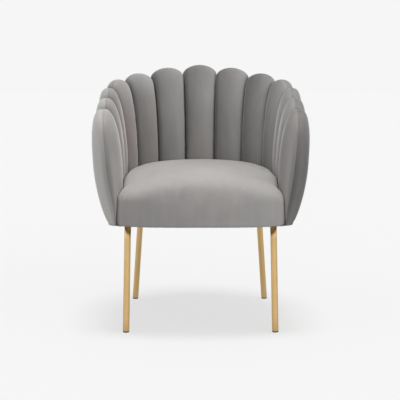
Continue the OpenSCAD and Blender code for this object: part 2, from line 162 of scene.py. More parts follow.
class Shader:
    """Builds the node tree of a material or of the world."""

    def __init__(self, owner: Material | bpy.types.World) -> None:
        """Starts with an empty tree.

        Args:
            owner: The material or world whose nodes it lays out.
        """
        owner.use_nodes = True
        self.owner = owner
        self.tree = owner.node_tree
        self.tree.nodes.clear()

    @classmethod
    def named(cls, name: str) -> "Shader":
        """Starts a new material of that name."""
        return cls(bpy.data.materials.new(name))

    def node(self, kind: str, settings: dict[str, object] | None = None,
             inputs: dict[str | int, Input] | None = None, output: str | int = 0) -> Socket:
        """Adds a node.

        Args:
            kind: The node's type.
            settings: Its properties, set before its sockets. A list of stops under "ramp" sets
                the colour ramp.
            inputs: Values or links of its sockets, by name or index.
            output: The output that is returned, by name or index.

        Returns:
            That output.
        """
        made = self.tree.nodes.new(kind)
        for name, value in (settings or {}).items():
            if name == "ramp":
                self._ramp(made, value)
            else:
                setattr(made, name, value)
        for name, value in (inputs or {}).items():
            if isinstance(value, Socket):
                self.tree.links.new(value.socket, made.inputs[name])
            else:
                made.inputs[name].default_value = value
        return Socket(self, made.outputs[output] if len(made.outputs) else None)

    @staticmethod
    def _ramp(made: bpy.types.Node, stops: Sequence[Pair]) -> None:
        """Sets a colour ramp to grey stops.

        Args:
            made: The ramp node.
            stops: Pairs of a place and a grey value.
        """
        elements = made.color_ramp.elements
        while len(elements) < len(stops):
            elements.new(1.0)
        for element, (place, grey) in zip(elements, stops):
            element.position = place
            element.color = (grey, grey, grey, 1.0)

    def attribute(self, name: str) -> Socket:
        """One of the mesh's own values."""
        return self.node("ShaderNodeAttribute", {"attribute_name": name}, output="Fac")

    def place(self, scale: Triple = (1.0, 1.0, 1.0)) -> Socket:
        """Object coordinates, stretched along each axis."""
        coordinates = self.node("ShaderNodeTexCoord", output="Object")
        return self.node("ShaderNodeMapping", {}, {"Vector": coordinates, "Scale": scale})

    def noise(self, where: Socket, scale: float, detail: float, roughness: float) -> Socket:
        """Noise around 0.5.

        Args:
            where: The coordinates.
            scale: Cells per metre.
            detail: Octaves.
            roughness: Weight of the finer octaves.

        Returns:
            The noise value.
        """
        return self.node("ShaderNodeTexNoise", {},
                         {"Vector": where, "Scale": scale, "Detail": detail, "Roughness": roughness})

    def blend(self, share: Input, low: Input, high: Input) -> Socket:
        """Mixes two colours.

        Args:
            share: The weight of the second colour.
            low: The first colour.
            high: The second colour.

        Returns:
            The mixed colour.
        """
        low, high = (c if isinstance(c, Socket) else (*c, 1.0) for c in (low, high))
        return self.node("ShaderNodeMix", {"data_type": "RGBA"}, {0: share, 6: low, 7: high}, 2)

    def tinted(self, colour: Socket, tint: Socket) -> Socket:
        """One colour times another."""
        return self.node("ShaderNodeVectorMath", {"operation": "MULTIPLY"}, {0: colour, 1: tint})

    def bump(self, height: Socket, depth: float, strength: float) -> Socket:
        """A bumped normal.

        Args:
            height: The height between 0 and 1.
            depth: The real depth in metres of a height of 1.
            strength: The weight of the bump.

        Returns:
            The normal.
        """
        return self.node("ShaderNodeBump", {}, {"Height": height, "Distance": depth, "Strength": strength})

    def finish(self, sockets: dict[str, Input]) -> Material:
        """Ends a material's tree in a Principled shader.

        Args:
            sockets: The shader's sockets.

        Returns:
            The material.
        """
        shade = self.node("ShaderNodeBsdfPrincipled", {}, sockets)
        self.node("ShaderNodeOutputMaterial", {}, {"Surface": shade})
        return self.owner


# Finishes

@dataclass(frozen=True)
class Velvet:
    """Short-pile grey velvet: a soft sheen, random patches and a fine pile, with painted light and shade
    from the mesh's tone, painted shade in the grooves and a painted warm reflection.
    """

    # The tone mixes between these two greys: random patches and pile, and painted light and shade.
    light: Colour = (0.500, 0.490, 0.474)
    dark: Colour = (0.150, 0.147, 0.145)
    # Pink that the random blush patches and the painted warm reflection tint towards.
    blush: Colour = (1.0, 0.875, 0.890)
    patchy: float = 0.28
    marked: float = 0.14
    streaked: float = 0.15
    piled: float = 0.16
    blushed: float = 0.3
    # How far the painted shade in the grooves darkens the velvet's colour: to this share of it.
    groove_shade_tone: float = 0.22

    def make(self) -> Material:
        """Makes the material."""
        shader = Shader.named("grey_velvet")
        patches = shader.noise(shader.place((1.0, 1.0, 0.45)), 7.0, 3.0, 0.55)
        marks = shader.noise(shader.place((1.0, 1.0, 0.5)), 24.0, 3.0, 0.6)
        streaks = shader.noise(shader.place((1.0, 1.0, 0.12)), 55.0, 2.0, 0.6)
        pile = shader.noise(shader.place(), 1400.0, 2.0, 0.7)
        # From the mesh: the tone with painted light and shade, the warm tint with a painted warm reflection,
        # and the painted shade in the grooves.
        tone_and_painted_light, warmth, groove_shade = (shader.attribute(name) for name in ("tone_and_painted_light", "warmth", "groove_shade"))
        painted_and_random_tone = ((patches - 0.5) * self.patchy + (marks - 0.5) * self.marked
                   + (streaks - 0.5) * self.streaked + (pile - 0.5) * self.piled + tone_and_painted_light)
        grey = shader.blend(painted_and_random_tone, self.dark, self.light)
        # A random warm blush and the mesh's warm tint, which holds a painted warm reflection.
        tint = shader.blend(warmth + (patches - 0.5) * self.blushed, WHITE, self.blush)
        # Painted shade in the grooves and down the front seam.
        shade = shader.blend(groove_shade, WHITE, (self.groove_shade_tone,) * 3)
        return shader.finish({
            "Base Color": shader.tinted(shader.tinted(grey, tint), shade),
            "Roughness": 0.86 + (patches - 0.5) * 0.12,
            "Specular IOR Level": 0.18,
            "Sheen Weight": 0.6,
            "Sheen Roughness": 0.32,
            "Sheen Tint": (1.0, 0.99, 0.975, 1.0),
            "Normal": shader.bump(pile * 0.7 + streaks * 0.3, 0.35 * MM, 0.5),
        })


@dataclass(frozen=True)
class BrassFinish:
    """Satin brass-coloured finish on steel, with faint drawing lines and handling marks."""

    colour: Colour = (0.600, 0.412, 0.190)
    worn: Colour = (0.515, 0.345, 0.150)

    def make(self) -> Material:
        """Makes the material."""
        shader = Shader.named("satin_brass")
        smudges = shader.noise(shader.place(), 26.0, 3.0, 0.55)
        lines = shader.noise(shader.place((1.0, 1.0, 0.02)), 2600.0, 2.0, 0.5)
        return shader.finish({
            "Base Color": shader.blend(smudges, self.worn, self.colour),
            "Metallic": 1.0,
            "Roughness": 0.31 + smudges * 0.12 + (lines - 0.5) * 0.06,
            "Normal": shader.bump(lines, 0.02 * MM, 0.5),
        })


@dataclass(frozen=True)
class Timber:
    """Planed, unfinished timber with grain along one axis."""

    name: str
    light: Colour
    dark: Colour
    stretch: Triple
    rings: float = 90.0

    def make(self) -> Material:
        """Makes the material."""
        shader = Shader.named(self.name)
        where = shader.place(self.stretch)
        figure = shader.noise(where, self.rings, 4.0, 0.6)
        pores = shader.noise(where, self.rings * 9.0, 2.0, 0.7)
        grain = shader.node("ShaderNodeValToRGB", {"ramp": ((0.36, 0.0), (0.52, 0.7), (0.66, 1.0))},
                            {"Fac": figure})
        return shader.finish({
            "Base Color": shader.blend(grain * 0.8 + pores * 0.25, self.dark, self.light),
            "Roughness": 0.62 + pores * 0.15,
            "Normal": shader.bump(pores, 0.12 * MM, 0.4),
        })


@dataclass(frozen=True)
class Woven:
    """A plain cloth or felt: two crossed sets of threads, or loose fibres."""

    name: str
    light: Colour
    dark: Colour
    threads: float
    fibres: float

    def make(self) -> Material:
        """Makes the material."""
        shader = Shader.named(self.name)
        across, along = (
            shader.node("ShaderNodeTexWave", {"bands_direction": way},
                        {"Vector": shader.place(), "Scale": self.threads, "Distortion": 0.4})
            for way in ("X", "Y"))
        fibres = shader.noise(shader.place(), self.fibres, 3.0, 0.65)
        weave = across * along * 0.6 + fibres * 0.5
        return shader.finish({
            "Base Color": shader.blend(weave, self.dark, self.light),
            "Roughness": 0.9,
            "Specular IOR Level": 0.2,
            "Normal": shader.bump(weave, 0.25 * MM, 0.6),
        })


@dataclass(frozen=True)
class Mottled:
    """A plain finish with clouds or scuffs: its roughness is given as the least and the range."""

    name: str
    dark: Colour
    light: Colour
    clouds: Triple
    roughness: Pair
    metallic: float
    dent: float

    def make(self) -> Material:
        """Makes the material."""
        shader = Shader.named(self.name)
        clouds = shader.noise(shader.place(), *self.clouds)
        return shader.finish({
            "Base Color": shader.blend(clouds, self.dark, self.light),
            "Metallic": self.metallic,
            "Roughness": self.roughness[0] + clouds * self.roughness[1],
            "Normal": shader.bump(clouds, self.dent, 0.5),
        })


# Mesh tools

def block(cuts: tuple[int, int, int]) -> BMesh:
    """A cube from -1 to 1, cut into strips along each axis.

    Args:
        cuts: How many cuts there are along X, Y and Z.

    Returns:
        The mesh.
    """
    made = bmesh.new()
    bmesh.ops.create_cube(made, size=2.0)
    for axis, count in enumerate(cuts):
        along = [e for e in made.edges if abs((e.verts[0].co - e.verts[1].co)[axis]) > TINY]
        bmesh.ops.subdivide_edges(made, edges=along, cuts=count, use_grid_fill=True)
    return made


def step_of(coordinate: float, cuts: int) -> int:
    """Index of a cut-up cube's coordinate, from 0 at -1 to cuts + 1 at 1."""
    return round((coordinate + 1.0) / 2.0 * (cuts + 1))


def layers(made: BMesh, *names: str) -> list[bmesh.types.BMLayerItem]:
    """Adds layers of vertex values.

    Args:
        made: The mesh.
        names: The layers' names.

    Returns:
        The layers.
    """
    for name in names:
        made.verts.layers.float.new(name)
    return [made.verts.layers.float[name] for name in names]


def eased_box(size: Triple, ease: float, segments: int) -> BMesh:
    """Makes a box about the origin with rounded edges.

    Args:
        size: Its extent along each axis.
        ease: How far its edges are cut back.
        segments: How many steps an edge has.

    Returns:
        The mesh.
    """
    made = bmesh.new()
    bmesh.ops.create_cube(made, size=1.0)
    bmesh.ops.scale(made, vec=size, verts=made.verts)
    bmesh.ops.bevel(made, geom=made.edges[:], offset=ease, segments=segments, profile=0.5,
                    affect="EDGES", material=-1)
    return made


def turned(profile: Sequence[Pair], sides: int, closed: bool = False) -> BMesh:
    """Spins a profile about the Z axis.

    Args:
        profile: Pairs of a radius and a height.
        sides: How many steps the turn has.
        closed: Whether the profile is a ring of its own.

    Returns:
        The mesh.
    """
    made = bmesh.new()
    verts = [made.verts.new((r, 0.0, z)) for r, z in profile]
    edges = [made.edges.new((a, b)) for a, b in zip(verts, verts[1:])]
    if closed:
        edges.append(made.edges.new((verts[-1], verts[0])))
    bmesh.ops.spin(made, geom=verts + edges, cent=(0, 0, 0), axis=(0, 0, 1), dvec=(0, 0, 0),
                   angle=2.0 * math.pi, steps=sides, use_merge=True)
    bmesh.ops.remove_doubles(made, verts=made.verts, dist=0.1 * TINY)
    bmesh.ops.recalc_face_normals(made, faces=made.faces)
    return made


def face_outward(made: BMesh) -> None:
    """Turns the faces of a closed mesh outward.

    Args:
        made: The mesh.
    """
    bmesh.ops.recalc_face_normals(made, faces=made.faces)
    if made.calc_volume(signed=True) < 0.0:
        bmesh.ops.reverse_faces(made, faces=made.faces)
    made.normal_update()


def centred(made: BMesh) -> BMesh:
    """Moves a mesh from the barrel's axis to the part's place."""
    bmesh.ops.translate(made, vec=(0.0, CENTRE_Y, 0.0), verts=made.verts)
    return made


def add_mesh(whole: BMesh, part: BMesh, place: Matrix) -> None:
    """Moves a mesh to its place and adds it to another.

    Args:
        whole: The mesh that grows.
        part: The mesh that is added, and freed.
        place: Where it goes.
    """
    bmesh.ops.transform(part, matrix=place, verts=part.verts)
    held = bpy.data.meshes.new("held")
    part.to_mesh(held)
    part.free()
    whole.from_mesh(held)
    bpy.data.meshes.remove(held)


def linked(name: str, data: bpy.types.ID) -> Object:
    """Puts a new object in the scene.

    Args:
        name: Its name.
        data: Its mesh, lamp or camera.

    Returns:
        The object.
    """
    thing = bpy.data.objects.new(name, data)
    bpy.context.scene.collection.objects.link(thing)
    return thing


def mesh_of(made: BMesh, name: str, material: Material) -> bpy.types.Mesh:
    """Ends a mesh's editing.

    Args:
        made: The mesh being edited, which is freed.
        name: Its name.
        material: Its finish.

    Returns:
        The mesh as data for an object.
    """
    mesh = bpy.data.meshes.new(name)
    made.to_mesh(mesh)
    made.free()
    mesh.materials.append(material)
    return mesh


def piece(made: BMesh, name: str, material: Material,
          replaced: Iterable[str] = (), smooth_faces: bool = True) -> Object:
    """Turns a mesh into a named piece that rides on the frame.

    Args:
        made: The mesh, which is freed.
        name: The piece's name.
        material: Its finish.
        replaced: The CAD nodes that it stands for.
        smooth_faces: Whether its faces are shaded smooth.

    Returns:
        The object.
    """
    for face in made.faces:
        face.smooth = smooth_faces
    thing = linked(name, mesh_of(made, name, material))
    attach(thing, "root")
    if replaced:
        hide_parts(*replaced)
    LOG.info("%s: %d faces, %s", name, len(thing.data.polygons), material.name)
    return thing


def soften(thing: Object, levels: int = 1) -> None:
    """Adds a subdivision surface.

    Args:
        thing: The object.
        levels: Its levels, the same in the view and in the render.
    """
    modifier = thing.modifiers.new("soft", "SUBSURF")
    modifier.levels = modifier.render_levels = levels
    modifier.uv_smooth = "NONE"


@dataclass(frozen=True)
class Settling:
    """Lets covers settle as cloth that is held at its seams and pushed out by its stuffing."""

    pressure: float = 3.5
    loose_and_firm: Pair = (0.75, 1.25)
    slack: float = 0.005
    share: float = 0.6
    cap: float = 6.0 * MM
    frames: int = 20
    seed: int = 5
    traits: tuple[tuple[str, float], ...] = (
        ("quality", 5), ("mass", 0.3), ("air_damping", 4.0), ("tension_stiffness", 8.0),
        ("compression_stiffness", 12.0), ("shear_stiffness", 6.0), ("bending_stiffness", 2.0),
        ("pin_stiffness", 1.0), ("use_pressure", True))

    def hang(self, thing: Object, fill: float) -> None:
        """Adds the cloth to a cover, held where its "sewn" attribute says so.

        Args:
            thing: The cover.
            fill: How well it is stuffed, from 0 to 1.
        """
        group = thing.vertex_groups.new(name="sewn")
        for vertex, held in zip(thing.data.vertices, thing.data.attributes["sewn"].data):
            group.add([vertex.index], held.value, "REPLACE")
        modifier = thing.modifiers.new("cloth", "CLOTH")
        cloth = modifier.settings
        for trait, value in self.traits:
            setattr(cloth, trait, value)
        cloth.uniform_pressure_force = self.pressure * mix(*self.loose_and_firm, fill)
        cloth.shrink_min = -self.slack * (1.0 - fill)
        cloth.vertex_group_mass = group.name
        cloth.effector_weights.gravity = 0.0
        modifier.collision_settings.use_collision = False
        modifier.point_cache.frame_start = 1
        modifier.point_cache.frame_end = self.frames

    def take(self, thing: Object) -> float:
        """Writes the settled shape into the cover's mesh and takes the cloth off.

        Args:
            thing: The cover.

        Returns:
            The cloth's longest move in metres, of which the cover takes a capped share.
        """
        settled = thing.evaluated_get(bpy.context.evaluated_depsgraph_get()).data
        moves = [after.co - before.co for before, after in zip(thing.data.vertices, settled.vertices)]
        for vertex, move in zip(thing.data.vertices, moves):
            vertex.co += move * min(self.share, self.cap / max(move.length, TINY * MM))
        thing.modifiers.clear()
        thing.vertex_groups.clear()
        thing.data.update()
        return max(move.length for move in moves)

    def run(self, covers: Sequence[Object]) -> None:
        """Settles all covers in one pass over the frames.

        Args:
            covers: The covers, which lose their "sewn" attribute.
        """
        dice = random.Random(self.seed)
        for thing in covers:
            self.hang(thing, dice.random())
        for number in range(1, self.frames + 1):
            bpy.context.scene.frame_set(number)
        longest = {thing.name: self.take(thing) for thing in covers}
        bpy.context.scene.frame_set(1)
        LOG.info("settled: %s", ", ".join(f"{name} {move / MM:.1f} mm" for name, move in longest.items()))
        for thing in covers:
            thing.data.attributes.remove(thing.data.attributes["sewn"])


# The barrel

@dataclass(frozen=True)
class Barrel:
    """The leaning wall that the channels stand round, with the part's own sizes in metres."""

    body_z: float = 0.317
    back_h: float = 0.780
    arm_h: float = 0.646
    pad_base_z: float = 0.3842
    pad_lift: float = 0.004
    shell_r: float = 0.2552
    shell_lean: float = math.radians(3.72)
    shell_t: float = 0.010
    arm_len: float = 0.293
    edge_cover: float = 0.012
    shell_drop: float = 0.062
    side_channels: int = 6
    pad_depth: float = 0.041
    groove_share: float = 0.42
    arch_rise: float = 0.031
    arch_level: float = 0.5
    crest_sag: float = 0.0075
    front_fall: float = 0.060
    belly_share: float = 0.52
    seam_bend: float = 0.0245
    seam_limit: float = 0.0142
    bend_z: float = 0.560
    soft_gap: float = 0.0004
    arch_power: float = 1.9
    sag_power: float = 5.0
    outer_crest_power: float = 3.0
    inner_crest_power: float = 2.4
    foot_power: float = 1.76
    foot_round: float = 0.016
    channel_power: float = 2.6
    front_power: float = 2.1
    seam_power: float = 2.4
    limit_power: float = 8.0

    def wall_r(self, z: float) -> float:
        """Radius of the middle of the shell wall at a height."""
        return self.shell_r + (z - self.body_z) * math.tan(self.shell_lean)

    @property
    def crest_r(self) -> float:
        """Radius of the wall at the height of the back."""
        return self.wall_r(self.back_h)

    @property
    def arc_len(self) -> float:
        """Length of a quarter of the barrel along the crest."""
        return QUARTER * self.crest_r

    @property
    def pitch(self) -> float:
        """Width of a channel along the crest."""
        return (self.arc_len + self.arm_len) / (self.side_channels + 0.5)

    def crest_share(self, y: float) -> float:
        """How far back a depth lies, from 0 at the middle of the front channel to 1."""
        front = self.arm_len - self.pitch / 2.0
        return (y + front) / (self.crest_r + front)

    def crest_plane(self, y: float) -> float:
        """Height of the falling plane that the shell's upper edge keeps to."""
        return mix(self.arm_h, self.back_h, self.crest_share(y))

    def crest_z(self, y: float) -> float:
        """Height of the crest line, which sags a little below the plane."""
        share = max(0.0, self.crest_share(y)) ** self.sag_power
        return self.crest_plane(y) - self.crest_sag * math.sin(math.pi * share)

    def plan(self, s: float, r: float) -> Pair:
        """A point of the plan.

        Args:
            s: The distance along the crest from the middle of the back.
            r: The distance from the barrel's axis.

        Returns:
            X and Y, relative to the barrel's axis.
        """
        if s <= self.arc_len:
            angle = s / self.arc_len * math.pi / 2.0
            return r * math.sin(angle), r * math.cos(angle)
        return r, self.arc_len - s

    def seam_in(self, z: float) -> float:
        """How far the front seam bends inward, until it meets the seat's side.

        Args:
            z: The height.

        Returns:
            The bend in metres.
        """
        if z >= self.bend_z:
            return 0.0
        free = self.seam_bend * ((self.bend_z - z) / (self.bend_z - self.body_z)) ** self.seam_power
        return free / (1.0 + (free / self.seam_limit) ** self.limit_power) ** (1.0 / self.limit_power)

    def fullness(self, z: float, top: float, side: Face) -> float:
        """How far a pad stands out.

        Args:
            z: The height.
            top: The height of the pad's top in that column.
            side: The face of the shell that it lies on.

        Returns:
            A share of its depth.
        """
        belly = mix(self.body_z, top, self.belly_share)
        if z > belly:
            power = self.inner_crest_power if side is Face.INNER else self.outer_crest_power
            return bow((z - belly) / (top - belly), power)
        return bow((belly - z) / (belly - self.body_z), self.foot_power)


BARREL = Barrel()
# The seat's front edge lies this far ahead of the barrel's axis. The part is moved along Y so
# that its box is centred, and the edge tells how far
SEAT_FRONT = 0.318
CENTRE_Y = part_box("seat_pad")[0].y + SEAT_FRONT


@dataclass
class ChannelCover:
    """The velvet cover of one channel pad: its cuts, its relief, and the painted light and shade in its
    tone.

    Fields that start with painted shift the tone by painted light and shade along the barrel, across a pad
    and up it, round a resting tone with a random drift; each pair is the middle and the width of a bell.
    """

    number: int
    side: Face
    material: Material
    barrel: Barrel = BARREL
    column_cuts: int = 27
    row_cuts: int = 83
    layer_cuts: int = 2
    step_gap: float = 6.5 * MM
    past_shell: float = 2.5 * MM
    over_shell: float = 3.0 * MM
    over_edge: float = 1.4 * MM
    foot_edge: float = 0.8 * MM
    least_held: float = 0.04
    rim_held: float = 0.25
    seam_dip: float = 1.2 * MM
    seam_width: float = 4.5 * MM
    pucker: float = 0.55 * MM
    pucker_scale: Pair = (95.0, 20.0)
    ripple: float = 0.8 * MM
    ripple_scale: Pair = (9.0, 7.0)
    # Painted light and shade in the tone, round a resting tone with a random drift.
    nap_rest: float = 0.46
    painted_light_turn: float = 0.14
    painted_light_front: float = 0.16
    painted_light_across: float = 0.31
    painted_groove_shade: float = 0.28
    painted_crest_shade: float = 0.18
    painted_light_outer_turn: float = 0.30
    painted_light_outer: float = 0.07
    painted_glow: float = 0.10
    painted_glow_at: Pair = (-0.62, 0.20)
    painted_flank_shade: float = 0.13
    painted_flank_shade_at: Pair = (0.33, 0.09)
    painted_near_shade: float = 0.10
    painted_left_end_light: float = 0.04
    painted_crest_light: float = 0.42
    painted_crest_light_at: Pair = (-0.38, 0.15)
    painted_crest_light_fall: float = 0.10
    painted_crest_shade_fall: float = 0.11
    painted_beside_shade: float = 0.10
    painted_beside_shade_fall: float = 0.16
    nap_drift: float = 0.10
    # Warm tint: a little everywhere with a random drift, and a painted warm reflection at mid height on the
    # left inner channels.
    warm_rest: float = 0.05
    warm: float = 1.15
    warm_at: Pair = (-0.62, 0.25)
    warm_z: Pair = (0.56, 0.09)
    warm_drift: float = 0.2
    # Painted shade in the grooves and down the front seam: its width, its weaker share on the right
    # channels, and its strength at the front seam.
    groove_shade_width: float = 2.4 * MM
    groove_shade_right: float = 0.42
    seam_shade: float = 0.40
    columns: list[float] = field(default_factory=list)
    rows: list[float] = field(default_factory=list)

    @property
    def index(self) -> int:
        """Places from the middle channel."""
        return abs(self.number - self.barrel.side_channels - 1)

    @property
    def frontmost(self) -> bool:
        """Whether the channel ends in the seam down the arm's front."""
        return self.index == self.barrel.side_channels

    def depth(self, u: float) -> float:
        """Greatest depth of the pad.

        Args:
            u: The place across it, from -1 at its rear groove to 1.

        Returns:
            The depth in metres.
        """
        barrel = self.barrel
        if self.frontmost and u > 0.0:
            return barrel.pad_depth * bow(u, barrel.front_power)
        return barrel.pad_depth * mix(barrel.groove_share, 1.0, bow(u, barrel.channel_power))

    def along(self, u: float) -> float:
        """Distance along the crest of a place across the pad."""
        return self.index * self.barrel.pitch + u * (self.barrel.pitch - self.barrel.soft_gap) / 2.0

    def top(self, u: float) -> float:
        """Height of the pad's crest.

        Args:
            u: The place across it.

        Returns:
            The height in metres.
        """
        barrel = self.barrel
        share = bow(u, barrel.arch_power)
        fall = barrel.front_fall if self.frontmost and u > 0.0 else barrel.arch_rise
        middle, here = (barrel.crest_z(barrel.plan(self.along(place), barrel.crest_r)[1])
                        for place in (0.0, u))
        return mix(here, middle, barrel.arch_level) - fall * (1.0 - share)

    def low(self) -> float:
        """Height of the pad's lower end behind the seat or at the underside."""
        barrel = self.barrel
        return barrel.pad_base_z if self.side is Face.INNER else barrel.body_z + barrel.pad_lift

    def set_stops(self) -> None:
        """Spreads columns and rows evenly over the surface, closer beside seams and grooves."""
        barrel = self.barrel
        half = barrel.pitch / 2.0
        self.columns = even_stops(
            lambda u: (u * half, self.depth(u)), -1.0, 1.0, self.column_cuts + 1,
            lambda u: 1.0 + 1.6 * abs(u) ** 8)
        top = self.top(0.0)
        low = self.low()
        depth = barrel.pad_depth
        self.rows = even_stops(
            lambda t: (mix(low, top, t), depth * barrel.fullness(mix(low, top, t), top, self.side)),
            0.0, 1.0, self.row_cuts + 1, lambda t: 1.0 + 2.2 * t ** 24 + 3.0 * (1.0 - t) ** 50)

    def spot(self, column: int, row: int, layer: float) -> tuple[Vector, float, float]:
        """Places one vertex of the cut-up cube.

        Args:
            column: Its index across the pad.
            row: Its index up the pad.
            layer: From 0 against the shell to 1 on the visible side.

        Returns:
            The point on the chair's right side, the distance to the seam that ends the pad at
            the top or the front, and the distance along the crest.
        """
        barrel = self.barrel
        u = self.columns[column]
        s = self.along(u)
        top = self.top(u)
        covered = barrel.arc_len + barrel.arm_len - barrel.edge_cover
        past = s > covered
        low = barrel.body_z + barrel.pad_lift if past else self.low()
        z = mix(low, top, self.rows[row])
        y_crest = barrel.plan(s, barrel.crest_r)[1]
        step = min(barrel.crest_plane(y_crest) - barrel.shell_drop, top - barrel.edge_cover) + self.step_gap
        beside_shell = z < step and s < covered + self.past_shell
        back = barrel.shell_t / 2.0 + barrel.soft_gap if beside_shell else barrel.soft_gap / 2.0
        least = back + (self.over_shell if beside_shell else self.over_edge)
        front = max(least, self.depth(u) * barrel.fullness(z, top, self.side))
        tuck = 1.0 - (z - low) / barrel.foot_round
        if tuck > 0.0 and self.side is Face.OUTER:
            front = mix(back + self.foot_edge, front, bow(tuck, 2.0))
        out = mix(back, front, layer)
        bend = min(1.0, (s - covered) / barrel.edge_cover) if past else 0.0
        r = barrel.wall_r(z) - bend * barrel.seam_in(z) + self.side.value * out
        x, y = barrel.plan(s, r)
        return Vector((x, y, z)), out, s

    def shape(self) -> BMesh:
        """Builds the cover as a closed mesh, with its seam valley, puckers and soft ripples."""
        self.set_stops()
        made = block((self.column_cuts, self.layer_cuts, self.row_cuts))
        sewn = layers(made, "tone_and_painted_light", "warmth", "groove_shade", "sewn")[-1]
        facts = {}
        for vertex in made.verts:
            column = step_of(vertex.co.x, self.column_cuts)
            row = step_of(vertex.co.z, self.row_cuts)
            layer = (vertex.co.y + 1.0) / 2.0
            spot, to_seam, s = self.spot(column, row, layer)
            facts[vertex] = (column, layer, to_seam, s)
            vertex.co = spot
            rim = min(column, self.column_cuts + 1 - column, row, self.row_cuts + 1 - row)
            free = layer >= 0.99 and rim > 0
            vertex[sewn] = max(self.least_held, self.rim_held / rim ** 2) if free else 1.0
        face_outward(made)
        moves = {v: v.normal * self.relief(v.co, *facts[v]) for v in made.verts if facts[v][1] > 0.5}
        for vertex, move in moves.items():
            vertex.co += move
        self.set_tone_and_painted_light(made, {vertex: self.columns[fact[0]] for vertex, fact in facts.items()})
        if self.number <= self.barrel.side_channels:
            bmesh.ops.scale(made, vec=(-1.0, 1.0, 1.0), verts=made.verts)
            face_outward(made)
        return centred(made)

    def relief(self, spot: Vector, column: int, layer: float, to_seam: float, s: float) -> float:
        """How far a vertex of the visible side moves along its normal.

        Args:
            spot: Where it is.
            column: Its index across the pad.
            layer: Its place between the shell and the visible side.
            to_seam: Its distance to the seam.
            s: Its distance along the crest.

        Returns:
            The move in metres.
        """
        rim = bow(self.columns[column], 2.0)
        seed = Vector((self.number * 3.7, self.side.value * 5.1, 0.0))
        along, up = self.ripple_scale
        waves = noise.noise(Vector((s * along, spot.z * up, 0.0)) + seed)
        move = self.ripple * waves * rim * layer
        near = bell(to_seam, 0.0, self.seam_width)
        close = math.exp(-to_seam / (3.0 * self.seam_width))
        run = s if not self.frontmost else s + spot.z
        along, away = self.pucker_scale
        folds = noise.noise(Vector((run * along, to_seam * away, 4.0)) + seed)
        return move - self.seam_dip * near + self.pucker * folds * close * rim

    def set_tone_and_painted_light(self, made: BMesh, places: dict[BMVert, float]) -> None:
        """Writes the tone with its painted light and shade, the warm tint with its painted warm reflection,
        and the painted shade in the grooves and down the front seam.

        Args:
            made: The cover, as on the chair's right side.
            places: The place of each vertex across the pad.
        """
        tone_and_painted_light, warmth, groove_shade = (made.verts.layers.float[name] for name in ("tone_and_painted_light", "warmth", "groove_shade"))
        turn = (self.number - self.barrel.side_channels - 1) / self.barrel.side_channels
        way = 1.0 if turn >= 0.0 else -1.0
        # Painted light: the tone is lighter on the left channels and darker on the right, most at the front.
        level = self.nap_rest - self.painted_light_turn * turn - self.painted_light_front * turn ** 3
        glow = lit = 0.0
        # Inner covers: a painted warm reflection and painted crest light on the left channels, lighter left
        # channels, painted shade on the flanks and a darker right front.
        if self.side is Face.INNER:
            glow = self.warm * bell(turn, *self.warm_at)
            lit = self.painted_crest_light * bell(turn, *self.painted_crest_light_at)
            level += self.painted_glow * bell(turn, *self.painted_glow_at)
            level -= self.painted_flank_shade * bell(abs(turn), *self.painted_flank_shade_at)
            level -= self.painted_near_shade * max(0.0, turn) ** 3
            level += self.painted_left_end_light * max(0.0, -turn) ** 6
        else:
            # Outer covers: painted light, lighter on the left and darker on the right.
            level += self.painted_light_outer - self.painted_light_outer_turn * turn
        seed = Vector((self.number * 2.3, self.side.value * 4.7, 7.0))
        for vertex, u in places.items():
            x, y, z = vertex.co
            in_front = self.frontmost and u > 0.0
            drift = noise.noise(Vector((x * 6.0, y * 6.0, z * 4.0)) + seed)
            across = way * u
            under = self.top(0.0) - z
            # Painted shade at the crest of the middle channels, turning to painted light at the far sides;
            # painted light across each channel; painted light at the crest of the left inner channels; and a
            # random drift.
            crest = smooth(1.0 - under / self.painted_crest_shade_fall) * (1.0 - 1.5 * abs(turn))
            tone = level + self.painted_light_across * across - self.painted_crest_shade * crest
            tone += lit * smooth(1.0 - under / self.painted_crest_light_fall) + self.nap_drift * drift
            # Painted shade beside the grooves, wider and stronger on one side.
            if not in_front:
                dark_side, light_side = smooth((-across - 0.70) / 0.30), smooth((across - 0.90) / 0.10)
                tone -= self.painted_groove_shade * max(dark_side, 0.6 * light_side)
            # Painted shade on the front half of the outer front covers, below the top.
            if self.frontmost and self.side is Face.OUTER:
                tone -= self.painted_beside_shade * smooth(u) * smooth(under / self.painted_beside_shade_fall)
            vertex[tone_and_painted_light] = tone
            # The warm tint's rest and random drift, and the painted warm reflection.
            vertex[warmth] = self.warm_rest + glow * bell(z, *self.warm_z) + self.warm_drift * drift
            # Painted shade in the grooves and down the front seam, weaker on the right channels.
            edge = (1.0 - abs(u)) * self.barrel.pitch / 2.0
            groove_darkness = bell(edge, 0.0, self.groove_shade_width) * smooth((under - 0.02) / 0.06)
            if in_front:
                groove_darkness *= self.seam_shade * smooth(under / 0.2)
            elif turn > 0.0:
                groove_darkness *= self.groove_shade_right
            vertex[groove_shade] = groove_darkness

    def build(self) -> Object:
        """Makes the piece, before its cloth settles."""
        word = self.side.name.lower()
        return piece(self.shape(), f"{word}_cover_{self.number}", self.material,
                     [f"{word}_channel_{self.number}"])


# The seat

